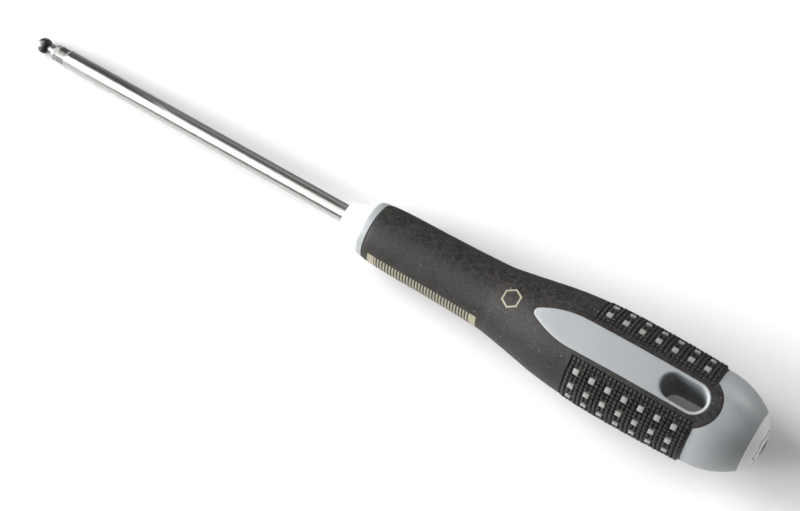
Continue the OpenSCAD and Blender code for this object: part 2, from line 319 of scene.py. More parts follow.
class Shape:
    """The places, radii and outlines that the pieces share, worked out from the sizes. s runs
    along the axis from the nose face towards the end, and an angle turns from the upper inlay
    towards +Y.
    """

    def __init__(self, scene):
        self.blade, self.handle = scene.driver_blade, scene.driver_handle
        self.inlay, self.grip = scene.driver_inlay, scene.driver_grip
        b, h, i, g = self.blade, self.handle, self.inlay, self.grip
        self.ball = b.ball_front - b.reach
        ball_rear = b.ball / 2 * math.cos(math.asin(b.neck / b.ball))
        self.neck = self.ball + ball_rear + b.neck_length
        self.shaft = b.hexagon - b.reach + (b.shaft - b.flats) / 2 / math.tan(b.cone)
        self.wing_end = b.tang_length - b.wing_back
        self.wing = self.wing_end - b.wing_length
        self.core_end = b.tang_length + h.core_wall
        self.collar = h.nose_length
        self.sleeve = self.collar + h.collar_width
        self.knee = self.collar + h.slim_length
        self.slim = (self.sleeve + self.knee) / 2 - self.collar
        self.flare = self.knee + h.flare_length / 2
        self.panel = self.knee + h.flare_length
        self.belly = self.panel + h.belly_back
        self.panel_end = self.panel + h.panel_length
        self.dome = self.panel_end + h.dome_gap
        self.end = self.dome + h.dome_length
        self.slot_rear = self.dome - i.slot_back - i.slot_width / 2
        self.slot_front = self.slot_rear - i.slot_length + i.slot_width
        self.inlay_front = self.slot_rear + i.width / 2 - i.reach
        self.inlay_rear = self.slot_rear + i.width / 2
        self.border = i.width / 2 + i.border
        self.border_end = self.slot_rear + self.border
        self.panel_side = (math.pi - g.stud_angle * g.stud_rows) / 2
        self.stations = [
            (self.collar, h.collar / 2, 0, h.collar_slope),
            (self.slim, h.slim / 2, h.slim_slope, h.slim_slope),
            (self.knee, h.knee / 2, h.knee_slope, h.flare_start),
            (self.flare, h.flare / 2, h.flare_slope, h.flare_slope),
            (self.belly, h.belly / 2, 0, 0),
            (self.dome, h.dome / 2, -h.dome_slope, 0),
        ]
        self.tops = [
            (self.panel, self.radius(self.panel) + g.front_rise, 0, g.front_slope),
            (self.belly, self.radius(self.belly) + g.belly_rise, 0, 0),
            (self.panel_end, self.radius(self.panel_end) + g.rear_rise, -g.rear_slope, 0),
        ]

    def radius(self, s):
        """Radius of the round handle: the curve through the stations, and behind them the dome's
        arc.
        """
        s = np.asarray(s, dtype=float)
        h = self.handle
        arc = circle(h.dome_round, past(s, self.dome))
        return np.where(s < self.dome, through(self.stations, s), h.dome / 2 - h.dome_round + arc)

    def panel_top(self, s):
        """Radius of the stud tops: the curve through the panel's stations."""
        return through(self.tops, s)

    def flat_share(self, s):
        """How much of the flat's depth is reached: eased in along the inlay's point, and eased out
        on the dome behind the border.
        """
        start = (s - self.inlay_front) / self.inlay.point
        run_out = (self.end - s) / (self.end - self.border_end)
        return ease(np.minimum(start, run_out))

    def skin(self, s, angle):
        """Distance from the axis to the smooth handle: the smaller of its radius and the distance
        to a flat, height / |cos angle|, blended.
        """
        least = 1e-3
        share = self.flat_share(s)
        radius = self.radius(s)
        cosine = np.maximum(np.abs(np.cos(angle)), least)
        flat = (radius - self.handle.flat_depth * share) / cosine
        return smaller(radius, flat, self.handle.flat_blend * np.maximum(share, least)) - INSIDE

    def angle_across(self, s, across):
        """Angle at which the skin is a distance across from the inlays' middle plane: asin(across
        / skin), taken again until it settles.
        """
        angle = np.arcsin(np.clip(across / self.radius(s), -1, 1))
        for _ in range(6):
            angle = np.arcsin(np.clip(across / self.skin(s, angle), -1, 1))
        return angle

    def height(self, s, across):
        """Height of the skin over the middle plane at a place along and across: skin * cos angle.
        """
        angle = self.angle_across(s, across)
        return self.skin(s, angle) * np.cos(angle)

    def inlay_half(self, s):
        """Half the inlay's width: the tip's arc, then half - rest * (1 - t)^2 along the point,
        straight, and a half circle at the rear.
        """
        i = self.inlay
        half = i.width / 2
        middle = self.inlay_front + i.tip
        side = middle + i.tip * math.cos(i.tip_angle)
        start = i.tip * math.sin(i.tip_angle)
        arc = circle(i.tip, s - middle)
        t = np.clip((s - side) / (self.inlay_front + i.point - side), 0, 1)
        point = start + (half - start) * (1 - (1 - t) ** 2)
        rear = circle(half, past(s, self.slot_rear))
        return np.where(s < self.inlay_front, 0, np.where(s < side, arc, np.minimum(point, rear)))

    def inlay_gap(self, s, across):
        """Distance outside the inlay's outline: to the tip's arc in front, to the rear half circle
        behind, and sideways between them.
        """
        i = self.inlay
        middle = self.inlay_front + i.tip
        tip = np.hypot(s - middle, across) - i.tip
        rear = np.hypot(s - self.slot_rear, across) - i.width / 2
        step = 0.5 * MM
        slope = (self.inlay_half(s + step) - self.inlay_half(s - step)) / (2 * step)
        side = (np.abs(across) - self.inlay_half(s)) / np.sqrt(1 + slope**2)
        reach = middle - np.abs(across) * math.tan(i.tip_angle - math.pi / 2)
        gap = np.where(s < reach, tip, side)
        return np.where(s > self.slot_rear, rear, gap)

    def grip_thickness(self, s):
        """Thickness of the grip: thin on the slim part, growing along the flare to full under the
        panels.
        """
        g = self.grip
        t = np.clip((s - self.knee) / (self.panel - self.knee), 0, 1)
        return g.thickness + (g.panel_thickness - g.thickness) * t

    def blade_radius(self, s, angle):
        """Distance from the axis to the blade: the smaller of the hexagon and the turned ball,
        neck and cone; the larger of that and the cone of the shaft; the shaft; the tang, and over
        the wings' length the larger of the tang and a flat bar.
        """
        b = self.blade
        soft = 0.05 * MM
        rise = math.tan(b.cone)
        ball = circle(b.ball / 2, s - self.ball)
        ball = ball - rounded(s + b.reach, b.ball_edge, b.ball_edge)
        cone = b.neck / 2 + past(s, self.neck) * rise
        turned = np.where(s < self.ball, ball, larger(ball, cone, soft))
        turned = np.minimum(turned, b.shaft / 2)
        facet = (angle + math.pi / 6) % (math.pi / 3) - math.pi / 6
        hexagon = smaller(b.flats / 2 / np.cos(facet), b.flats / math.sqrt(3) - b.corner, soft)
        drive = smaller(hexagon, turned, soft)
        drive = larger(drive, b.shaft / 2 - (self.shaft - s) * rise, soft)
        radius = np.where(s < self.shaft, np.minimum(drive, b.shaft / 2), b.shaft / 2)
        radius = np.where(s > 0, b.tang / 2, radius)
        wide = b.wing_span / 2 / np.maximum(np.abs(np.sin(angle)), LEAST)
        thin = b.wing_thickness / 2 / np.maximum(np.abs(np.cos(angle)), LEAST)
        winged = (s > self.wing) & (s < self.wing_end)
        return np.where(winged, np.maximum(radius, np.minimum(wide, thin)), radius)

    def blade_angles(self):
        """Angles round the blade, closer together at the hexagon's corners."""
        half = np.array([0, 8, 16, 23, 26, 27.6, 28.6, 29.4])
        sector = np.concatenate([half, [30], 60 - half[:0:-1]])
        return np.radians((np.arange(6)[:, None] * 60 + sector).ravel())

    def tang_places(self):
        """Places along the tang: close in front of and behind both ends of the wings, and its end.
        """
        beside = (self.wing - HAIR, self.wing + HAIR, self.wing_end - HAIR, self.wing_end + HAIR)
        return [*beside, self.blade.tang_length]

    def core_side(self):
        """The profile that the core fills and the body leaves: the core's end, its side, and the
        step outwards under the collar.
        """
        h = self.handle
        step = self.collar + h.collar_width / 2
        side = [(self.core_end, h.core / 2), (step, h.core / 2), (step, h.nose_rear / 2)]
        return [(self.core_end, 0.0), *side]


# ---------------------------------------------------------------- meshes


def tool_frame():
    """The tool's own frame in the row's: its axes along the blade, across, and up square to both,
    and its origin on the nose face.
    """
    along = -np.array(MOUNTS["shaft"]["axis"])
    along /= np.linalg.norm(along)
    up = np.array([-along[2], 0, along[0]])
    nose = np.array(MOUNTS["drive_tip"]["pos_m"]) + bpy.context.scene.driver_blade.reach * along
    return np.array([along, [0, 1, 0], up]), nose


def lay_down(points):
    """Moves points from the tool's own frame to the row's."""
    axes, nose = tool_frame()
    return nose + points @ axes


def grid_faces(rows, columns, wrap_rows=False, wrap_columns=False):
    """Corner numbers of the four-sided faces of a grid of points; a wrapped side joins its last
    line to its first.
    """
    i, j = np.meshgrid(
        np.arange(rows if wrap_rows else rows - 1),
        np.arange(columns if wrap_columns else columns - 1),
        indexing="ij",
    )
    below, right = (i + 1) % rows, (j + 1) % columns
    corners = [i * columns + j, i * columns + right, below * columns + right, below * columns + j]
    return np.stack(corners, axis=-1).reshape(-1, 4)


def slab(top, under, present=None, wrap=False):
    """Points and faces of a closed slab between two grids: the cells that are present on top and,
    turned over, underneath, with a wall wherever a present cell has no present neighbour.
    """
    rows, columns = top.shape[:2]
    cells = grid_faces(rows, columns, wrap_columns=wrap).reshape(rows - 1, -1, 4)
    if present is None:
        present = np.ones(cells.shape[:2], dtype=bool)
    size = rows * columns
    before = np.roll(present, 1, axis=1)
    after = np.roll(present, -1, axis=1)
    if not wrap:
        before[:, 0] = after[:, -1] = False
    above = np.pad(present, ((1, 0), (0, 0)))[:-1]
    below = np.pad(present, ((0, 1), (0, 0)))[1:]
    faces = [cells[present], cells[present][:, ::-1] + size]
    for neighbour, one, other in ((above, 1, 0), (after, 2, 1), (below, 3, 2), (before, 0, 3)):
        edge = cells[present & ~neighbour]
        first, last = edge[:, one], edge[:, other]
        faces.append(np.stack([first, last, last + size, first + size], axis=-1))
    return np.concatenate([top.reshape(-1, 3), under.reshape(-1, 3)]), np.concatenate(faces)


def weld(points, faces, reach=1e-7):
    """Merges points closer than reach, leaves out faces that fold to nothing, and makes faces with
    one shrunk side into triangles.
    """
    keys = np.round(points / reach).astype(np.int64)
    _, first, number_of = np.unique(keys, axis=0, return_index=True, return_inverse=True)
    faces = number_of.reshape(-1)[faces]
    shrunk = faces == np.roll(faces, -1, axis=1)
    sides = shrunk.sum(axis=1)
    whole = faces[sides == 0]
    whole = whole[(whole[:, 0] != whole[:, 2]) & (whole[:, 1] != whole[:, 3])]
    pinched = faces[sides == 1]
    corner = (shrunk[sides == 1].argmax(axis=1)[:, None] + 1 + np.arange(3)) % 4
    triangles = np.take_along_axis(pinched, corner, axis=1)
    triangles = triangles[triangles[:, 0] != triangles[:, 2]]
    return points[first], whole, triangles


def volume(points, faces):
    """Volume inside faces, from the corner triple products: positive where they point outwards."""
    total = 0.0
    for k in range(1, faces.shape[1] - 1):
        a, b, c = points[faces[:, 0]], points[faces[:, k]], points[faces[:, k + 1]]
        total += np.einsum("ij,ij->", a, np.cross(b, c)) / 6
    return total


def new_object(name, data):
    """Puts a new object into the scene, in place of an older one of its name."""
    old = bpy.data.objects.get(name)
    if old:
        bpy.data.objects.remove(old)
    new = bpy.data.objects.new(name, data)
    bpy.context.scene.collection.objects.link(new)
    return new


def make_piece(name, build, finish, replaced=None, sharp=40):
    """Makes a closed piece: its surface built, welded, turned outwards, laid down, shaded smooth
    up to the sharp angle in degrees and given its finish. It rides on the tool's one body.
    """
    scene = bpy.context.scene
    points, whole, triangles = weld(*build(Shape(scene)))
    if volume(points, whole) + volume(points, triangles) < 0:
        whole, triangles = whole[:, ::-1], triangles[:, ::-1]
    mesh = bpy.data.meshes.new(name)
    mesh.from_pydata(lay_down(points).tolist(), [], whole.tolist() + triangles.tolist())
    if mesh.validate():
        raise RuntimeError(name + " has faces that are not valid")
    mesh.shade_smooth()
    mesh.set_sharp_from_angle(angle=math.radians(sharp))
    mesh.materials.append(finish(scene))
    piece = new_object(name, mesh)
    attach(piece, "root")
    if replaced:
        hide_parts(replaced)


def turned(profile, angles):
    """Points and faces of a profile of (place, radius) turned about the axis; its ends are on the
    axis, and a place's radius may vary with the angle.
    """
    s = np.array([row[0] for row in profile])[:, None]
    radius = np.array([np.broadcast_to(row[1], angles.shape) for row in profile])
    points = at(s, radius, angles[None, :])
    return points.reshape(-1, 3), grid_faces(len(profile), len(angles), wrap_columns=True)


def build_blade(shape):
    """The blade as one grid of places and angles, closed with a point on the axis at both ends."""
    b = shape.blade
    neck_start, cone_end = shape.neck - b.neck_length, shape.neck + 2 * MM
    shaft_start = shape.shaft - 1.6 * MM
    s = np.concatenate([
        (1 - np.cos(quarter(6))) * b.ball_edge - b.reach,
        places((b.ball_edge - b.reach, neck_start, 40), (neck_start, cone_end, 30))[1:],
        places((cone_end, shaft_start, 8), (shaft_start, shape.shaft + HAIR, 26))[1:],
        np.linspace(shape.shaft, -HAIR, 40)[1:],
        [HAIR, *shape.tang_places()],
    ])
    angles = shape.blade_angles()
    radius = shape.blade_radius(s[:, None], angles[None, :])
    return turned([(s[0], 0.0), *zip(s, radius), (s[-1], 0.0)], angles)


def build_core(shape):
    """The core as one turned grid: its rear, its outside forward to the nose, which is a cone, the
    rounded nose face, and the bore that the blade fills.
    """
    b, h = shape.blade, shape.handle
    rise = (h.nose_rear - h.nose_front) / 2
    cone = shape.collar - h.nose_edge
    face = h.nose_front / 2 - h.nose_edge
    bore, bevel = b.shaft / 2, 0.3 * h.nose_lip
    profile = shape.core_side()
    for s in np.linspace(shape.collar, h.nose_edge, 8):
        profile.append((s, h.nose_front / 2 + rise * (s - h.nose_edge) / cone))
    for a in quarter(8)[1:]:
        profile.append((h.nose_edge * (1 - math.sin(a)), face + h.nose_edge * math.cos(a)))
    profile += [(0.0, bore + h.nose_lip), (bevel, bore + bevel), (h.nose_lip, bore)]
    angles = shape.blade_angles()
    for s in (2 * h.nose_lip, *shape.tang_places()):
        profile.append((s, shape.blade_radius(np.full(angles.shape, s), angles)))
    profile.append((b.tang_length, 0.0))
    return turned(profile, angles)


def build_body(shape):
    """The collar and the handle under the grip as one turned grid round the core. Both edges of
    the collar are quarter circles.
    """
    h, g = shape.handle, shape.grip
    front, rear = h.collar_edge, 0.22 * MM
    lip = 0.02 * MM
    short = 5 * MM  # it ends this far in front of the slot, under the inlays and the grip
    profile = [*shape.core_side(), (shape.collar, h.nose_rear / 2 + lip)]

    def skin(s, drop=0.0):
        """Adds the collar's skin at s, by drop below the round handle."""
        profile.append((s, float(shape.radius(s)) - drop - g.seam))

    for a in quarter(8):
        skin(shape.collar + front * (1 - math.cos(a)), front * (1 - math.sin(a)))
    for s in np.linspace(shape.collar + front, shape.sleeve - rear, 6)[1:]:
        skin(s)
    for a in quarter(6)[1:]:
        skin(shape.sleeve - rear * (1 - math.sin(a)), rear * (1 - math.cos(a)))
    rows = places((shape.sleeve, shape.slot_front - short, 60))
    under = shape.radius(rows) - shape.grip_thickness(rows) - g.seam
    profile += [*zip(rows, under), (rows[-1], 0.0)]
    return turned(profile, full_circle(96))


def inlay_outline(shape):
    """Outline of an inlay as (place, across), all the way round: tip arc, point, straight side and
    rear half circle, and back on the other side.
    """
    i = shape.inlay
    half = i.width / 2
    middle = shape.inlay_front + i.tip
    tip = np.linspace(math.pi, i.tip_angle, 9)
    front = np.stack([middle + i.tip * np.cos(tip), i.tip * np.sin(tip)], axis=-1)
    arc_end, point_end = front[-1, 0], shape.inlay_front + i.point
    crowded = np.linspace(0, 1, 19)[1:] ** 1.3  # closer together near the tip
    s = np.concatenate([
        arc_end + (point_end - arc_end) * crowded,
        np.linspace(point_end, shape.slot_front, 18)[1:],
        np.linspace(shape.slot_front, shape.slot_rear, 7)[1:],
    ])
    side = np.stack([s, shape.inlay_half(s)], axis=-1)
    rear = np.linspace(math.pi / 2, 0, 15)[1:]
    back = np.stack([shape.slot_rear + half * np.cos(rear), half * np.sin(rear)], axis=-1)
    upper = np.concatenate([front, side, back])
    lower = upper[-2:0:-1] * [1, -1]
    return np.concatenate([upper, lower])


class SlotLines:
    """Lines that run from the inlay's outline square to the slot's own middle line, one for each
    point of the outline.
    """

    def __init__(self, shape):
        self.shape = shape
        outline = inlay_outline(shape)
        along = np.clip(outline[:, 0], shape.slot_front, shape.slot_rear)
        self.middle = np.stack([along, 0 * along], axis=-1)
        away = outline - self.middle
        self.reach = np.linalg.norm(away, axis=1)
        self.away = away / self.reach[:, None]

    def row(self, distance, drop):
        """Points at a distance from the slot's middle line, below the skin by drop."""
        plan = self.middle + self.away * np.broadcast_to(distance, self.reach.shape)[:, None]
        return np.column_stack([plan, self.shape.height(plan[:, 0], plan[:, 1]) - drop])

    def wall(self, z):
        """Points of the slot's wall at heights z: the slot widens evenly from its waist to its
        mouths.
        """
        i, half = self.shape.inlay, self.shape.handle.belly / 2
        radius = i.slot_waist / 2 + (i.slot_width - i.slot_waist) / 2 * np.abs(z) / half
        return np.column_stack([self.middle + self.away * radius[:, None], z])


def build_inlays(shape):
    """Both inlays and the slot's wall as one ring-shaped grid: an inlay's edge inside the grip,
    its rounded outer edge, its face, the rounded rim of the slot, the wall down to the middle, and
    the same again below.
    """
    i, g = shape.inlay, shape.grip
    lines = SlotLines(shape)
    reach, mouth = lines.reach, i.slot_width / 2
    rows = [lines.row(reach, g.seam + i.depth)]
    for t in np.linspace(0, 1, 5):
        rows.append(lines.row(reach - i.edge * t, g.seam + float(rounded(t, 1, i.edge))))
    inner, rim = reach - i.edge, mouth + i.rim
    for t in np.linspace(0, 1, 34)[1:]:
        rows.append(lines.row(inner + (rim - inner) * t, g.seam))
    for a in quarter(9)[1:]:
        distance, drop = i.rim * (1 - math.sin(a)), i.rim * (1 - math.cos(a))
        rows.append(lines.row(mouth + distance, g.seam + drop))
    foot = rows[-1][:, 2]
    for t in np.linspace(1, 0, 8)[1:]:
        rows.append(lines.wall(foot * t))
    upper = np.array(rows)
    grid = np.concatenate([upper, upper[-2::-1] * [1, 1, -1]])
    return grid.reshape(-1, 3), grid_faces(*grid.shape[:2], wrap_rows=True, wrap_columns=True)


def build_dome(shape):
    """The dome as one grid closed on the axis: its front, the skin, sunk under the border's ring
    so that the inlay and the ring cover it, the rounded rear edge, and the seat of the end cap.
    """
    h, g = shape.handle, shape.grip
    depth, inset, slope = 0.6 * MM, 1.2 * MM, 1.5 * MM
    s = places(
        (shape.panel_end, shape.dome, 4),
        (shape.dome, shape.end - h.dome_edge, 28),
        (shape.end - h.dome_edge, shape.end, 6),
    )[:, None]
    angles = full_circle(144)
    distance = shape.skin(s, angles)
    across = distance * np.sin(angles)
    ring = np.hypot(s - shape.slot_rear, across)
    sunk = depth * ease((shape.border - inset - ring) / slope)
    distance = distance - g.seam - sunk - rounded(shape.end - s, h.dome_edge, h.dome_edge * 0.4)
    zero = np.zeros_like(angles)
    seat = shape.end - h.plug_length
    profile = [(shape.panel_end, zero), *zip(s[:, 0], distance)]
    profile += [(shape.end, zero + h.plug / 2), (seat, zero + h.plug / 2), (seat, zero)]
    return turned(profile, angles)


def build_cap(shape):
    """The end cap as one turned profile: the face is a parabola, end_rise * (1 - (1 - k)^2) high
    at radius * (1 - k), with a rounded rim and the plug behind.
    """
    h = shape.handle
    radius = float(shape.radius(shape.end))
    seat = shape.end - h.plug_length
    rim, clear = 0.12 * MM, 0.05 * MM
    profile = [(seat, 0.0), (seat, h.plug / 2), (shape.end, h.plug / 2)]
    profile.append((shape.end, radius - clear))
    for k in np.concatenate([[0.002, 0.008, 0.02], np.linspace(0.04, 1, 26)]):
        s = shape.end + (h.end_rise - INSIDE) * (1 - (1 - k) ** 2)
        drop = float(rounded(radius * k, rim, rim * 0.25))
        profile.append((s, radius * (1 - k) - drop if k < 1 else 0.0))
    return turned(profile, full_circle(128))


def build_windows(shape):
    """Every square window of both panels: one small rounded pad on a 7 by 7 grid, carried to each
    place along and angle round the handle.
    """
    i, g = shape.inlay, shape.grip
    half, edge, thick = i.window / 2, i.window_edge, 1.2 * MM
    side = np.array([half - edge, half - edge * 0.3, half])
    line = np.concatenate([-side[::-1], [0], side])
    along, across = np.meshgrid(line, line, indexing="ij")
    nearest = half - np.maximum(np.abs(along), np.abs(across))
    drop = rounded(nearest, edge, edge)
    pitch = g.pitch * i.window_step
    place = shape.panel + g.margin + pitch / 2 + pitch * np.arange(i.window_columns)
    row = (np.arange(i.window_rows) - (i.window_rows - 1) / 2) * g.stud_angle * i.window_step
    angle = np.concatenate([math.pi / 2 + row, -math.pi / 2 - row])
    points, faces = [], []
    for s in place:
        for a in angle:
            out = np.array([0, math.sin(a), math.cos(a)])
            beside = np.array([0, math.cos(a), -math.sin(a)])
            high = shape.panel_top(s + along) - i.window_depth - drop
            base = np.stack([s + along, 0 * along, 0 * along], axis=-1)
            top = base + high[..., None] * out + across[..., None] * beside
            pad, sides = slab(top, top - thick * out)
            faces.append(sides + len(pad) * len(points))
            points.append(pad)
    return np.concatenate(points), np.concatenate(faces)


def build_sleeve(shape):
    """The smooth soft grip as one closed slab on a grid of places and angles. In each quarter the
    angles run from the inlay's edge to the panel's side, on to the ring's outer edge, and to the
    side of the handle; the cells over the inlays and the panels are left out. Edges drop along
    quarter ellipses by their distance to the inlay, the panel, the ring's end or the collar.
    """
    g, i = shape.grip, shape.inlay
    fine = np.array([0.03, 0.08, 0.14, 0.3]) * MM
    tip = shape.inlay_front
    before_tip = (tip - 1 * MM, tip - 0.3 * MM)
    ring_rows = shape.slot_rear + shape.border * np.cos(np.linspace(math.pi / 2, 0, 26))
    s = in_order(
        shape.sleeve + g.shoulder * (1 - np.cos(quarter(9))),
        np.linspace(shape.sleeve + g.shoulder, before_tip[0], 40),
        np.linspace(*before_tip, 3),
        tip - fine,
        tip + i.tip * (1 - np.cos(quarter(12))),
        np.linspace(tip + i.tip, shape.panel, 24),
        shape.panel - fine,
        np.linspace(shape.panel, shape.slot_rear, 24),
        shape.slot_rear + i.width / 2 * np.cos(np.linspace(math.pi / 2, 0, 18)),
        shape.inlay_rear + fine,
        shape.panel_end + np.concatenate([[0], fine]),
        ring_rows[ring_rows > shape.panel_end],
    )[:, None]
    behind = s > shape.panel_end + SAME
    ring_angle = shape.angle_across(s, circle(shape.border, past(s, shape.slot_rear)))
    corner = math.sqrt(shape.border**2 - (shape.panel_end - shape.slot_rear) ** 2)
    corner_angle = float(shape.angle_across(np.array(shape.panel_end), np.array(corner)))
    start = shape.angle_across(s, shape.inlay_half(s))
    start = np.where(s >= shape.inlay_rear - SAME, 0, start)
    side = np.where(behind, ring_angle * shape.panel_side / corner_angle, shape.panel_side)
    ear = np.where(behind, ring_angle, corner_angle)

    def near(low, high, limit):
        """How far on the way from low to high the fine distances lie, held to a limit."""
        width = np.maximum((high - low) * shape.radius(s), LEAST)
        return np.minimum(fine[:3] / width, limit)

    def cut(low, high, *shares):
        """Angles at shares of the way from low to high."""
        return low + (high - low) * np.concatenate([0 * s + share for share in shares], axis=1)

    close = near(start, side, [0.02, 0.05, 0.09])
    ear_close = near(side, ear, [0.05, 0.12, 0.2])
    band = cut(start, side, 0, close, np.linspace(0.14, 0.86, 9), 1 - close[:, ::-1])
    ears = cut(side, ear, 0, np.array([0.3, 0.6]), 1 - ear_close[:, ::-1])
    rest = cut(ear, math.pi / 2, np.linspace(0, 1, 11)[:-1])
    quarters = np.concatenate([band, ears, rest], axis=1)
    middle = np.full_like(s, math.pi / 2)
    half_turn = np.concatenate([quarters, middle, math.pi - quarters[:, ::-1]], axis=1)
    angles = np.concatenate([half_turn, math.pi + half_turn], axis=1)
    kind = np.repeat([0, 1, 2], [band.shape[1], ears.shape[1], rest.shape[1]])
    kind = np.tile(np.concatenate([kind, kind[::-1], [3]]), 2)
    row = (s[1:] + s[:-1]) / 2
    kept = np.concatenate([
        np.ones_like(row, dtype=bool),
        (row < shape.panel) | (row > shape.panel_end),
        row < shape.panel,
        (row < shape.inlay_front) | (row > shape.inlay_rear),
    ], axis=1)
    distance = shape.skin(s, angles)
    across = np.abs(distance * np.sin(angles))
    folded = np.arccos(np.clip(np.abs(np.cos(angles)), 0, 1))
    ahead = np.maximum(past(s, shape.panel_end), past(shape.panel, s))
    beside = np.maximum((shape.panel_side - folded) * distance, 0)
    ring_end = shape.border - np.hypot(past(s, shape.slot_rear), across)

    def edge(gap):
        """Drop of the grip at a gap from its edge."""
        return rounded(np.maximum(gap, 0), g.edge, g.edge * 0.8)

    drop = np.maximum.reduce([
        np.broadcast_to(rounded(s - shape.sleeve, g.shoulder, g.shoulder_drop), angles.shape),
        edge(np.hypot(ahead, beside)),
        edge(shape.inlay_gap(s, across)),
        np.where(behind, edge(ring_end), 0),
    ])
    top = at(s, distance - drop, angles)
    under = at(s, distance - g.thickness, angles)
    return slab(top, under, kept[:, kind], wrap=True)


def build_panel(shape, side):
    """A textured panel as one closed slab. The height over the floor is a row of rounded studs
    lengthwise times a row of them crosswise, left out where two by two studs make room for a
    window; side is 1 for +Y and -1 for -Y.
    """
    g, i = shape.grip, shape.inlay
    cuts = np.array([0.08, 0.14, 0.22, 0.78, 0.86, 0.92])
    rise = np.array([0, 0.78, 1, 1, 0.78, 0])

    def lines(start, pitch, repeats, low, high):
        """Places of the lines, their share of the stud height, and the stud that each belongs to.
        """
        place = start + pitch * (np.arange(repeats)[:, None] + cuts)
        stud = np.repeat(np.arange(repeats), len(cuts))
        place = np.concatenate([[low], place.ravel(), [high]])
        share = np.concatenate([[0], np.tile(rise, repeats), [0]])
        return place, share, np.concatenate([[-1], stud, [-1]])

    start = shape.panel + g.margin
    s, share_s, stud_s = lines(start, g.pitch, g.stud_columns, shape.panel, shape.panel_end)
    low = shape.panel_side
    angle, share_a, stud_a = lines(low, g.stud_angle, g.stud_rows, low, math.pi - low)
    step = i.window_step
    first_row = (g.stud_rows - step * (i.window_rows - 1)) // 2 - 1
    last = step * i.window_columns
    open_s = (stud_s >= 0) & (stud_s < last) & (stud_s % step >= 1) & (stud_s % step <= 2)
    row = stud_a - first_row
    open_a = (row >= 0) & (row < step * i.window_rows) & (row % step <= 1)
    outermost, gain = 0.55, 0.25  # the studs rise to their full height over the outer rows
    rank = np.minimum(stud_a, g.stud_rows - 1 - stud_a)
    share_a = share_a * np.clip(outermost + gain * rank, 0, 1)
    height = g.stud_height * share_s[:, None] * share_a[None, :]
    height = np.where(open_s[:, None] & open_a[None, :], 0, height)
    tops = shape.panel_top(s)[:, None]
    top = at(s[:, None], tops - g.stud_height + height, side * angle[None, :])
    under = at(s[:, None], tops - g.panel_thickness + 0 * height, side * angle[None, :])
    return slab(top, under)


# ---------------------------------------------------------------- materials


def feed(tree, socket, value):
    """Links a value to a socket where it is an output, or else makes it the socket's own."""
    if isinstance(value, bpy.types.NodeSocket):
        tree.links.new(value, socket)
    else:
        socket.default_value = value


def add(tree, kind, settings=None, **inputs):
    """Adds a shader node, sets what settings names on it, and feeds its inputs. An input's name
    has _ for a space, and a number at its end, as in Value_1, picks among inputs of one name.
    """
    node = tree.nodes.new("ShaderNode" + kind)
    for key, value in (settings or {}).items():
        setattr(node, key, value)
    for key, value in inputs.items():
        words = key.split("_")
        place = int(words.pop()) if words[-1].isdigit() else 0
        found = [socket for socket in node.inputs if socket.name == " ".join(words)]
        feed(tree, found[place], value)
    return node


def maths(tree, operation, a, b=0.0, c=0.0):
    """A Math node's result."""
    return add(tree, "Math", {"operation": operation}, Value_0=a, Value_1=b, Value_2=c).outputs[0]


def times(tree, a, b):
    """The product of a and b."""
    return maths(tree, "MULTIPLY", a, b)


def most(tree, a, b):
    """The larger of a and b."""
    return maths(tree, "MAXIMUM", a, b)


def vectors(tree, operation, result, a, b=(0.0, 0.0, 0.0)):
    """A Vector Math node's result, which is its Vector or its Value."""
    node = add(tree, "VectorMath", {"operation": operation}, Vector_0=a, Vector_1=b)
    return node.outputs[result]


# Where a Mix node keeps its two inputs and its result.
MIX_SOCKETS = {"FLOAT": (2, 3, 0), "RGBA": (6, 7, 2)}


def blend(tree, share, a, b, kind="RGBA"):
    """A colour, or a number where kind is FLOAT, between a and b."""
    first, second, result = MIX_SOCKETS[kind]
    node = add(tree, "Mix", {"data_type": kind})
    for place, value in ((0, share), (first, a), (second, b)):
        feed(tree, node.inputs[place], value)
    return node.outputs[result]


def ramp(tree, value, low, high, start=0.0, end=1.0):
    """Value carried evenly from low..high to start..end and held between them."""
    sockets = {"Value": value, "From_Min": low, "From_Max": high, "To_Min": start, "To_Max": end}
    return add(tree, "MapRange", {"clamp": True}, **sockets).outputs[0]


def between(tree, value, low, high, soft):
    """1 where a value lies between low and high, 0 outside, with soft ends."""
    rise = ramp(tree, value, low - soft, low + soft)
    fall = ramp(tree, value, high - soft, high + soft, 1.0, 0.0)
    return times(tree, rise, fall)


def group(name, inputs, outputs, fill):
    """A node group, made once. Inputs are labels with their values, or None for a vector, outputs
    are labels with their kinds, and fill works out the outputs from the tree and the inputs.
    """
    if name not in bpy.data.node_groups:
        tree = bpy.data.node_groups.new(name, "ShaderNodeTree")
        new_socket = tree.interface.new_socket
        for label, value in inputs.items():
            kind = "NodeSocketVector" if value is None else "NodeSocketFloat"
            socket = new_socket(name=label, in_out="INPUT", socket_type=kind)
            if value is not None:
                socket.default_value = value
        for label, kind in outputs.items():
            new_socket(name=label, in_out="OUTPUT", socket_type="NodeSocket" + kind)
        results = fill(tree, tree.nodes.new("NodeGroupInput").outputs)
        for socket, value in zip(tree.nodes.new("NodeGroupOutput").inputs, results):
            tree.links.new(value, socket)
    return bpy.data.node_groups[name]


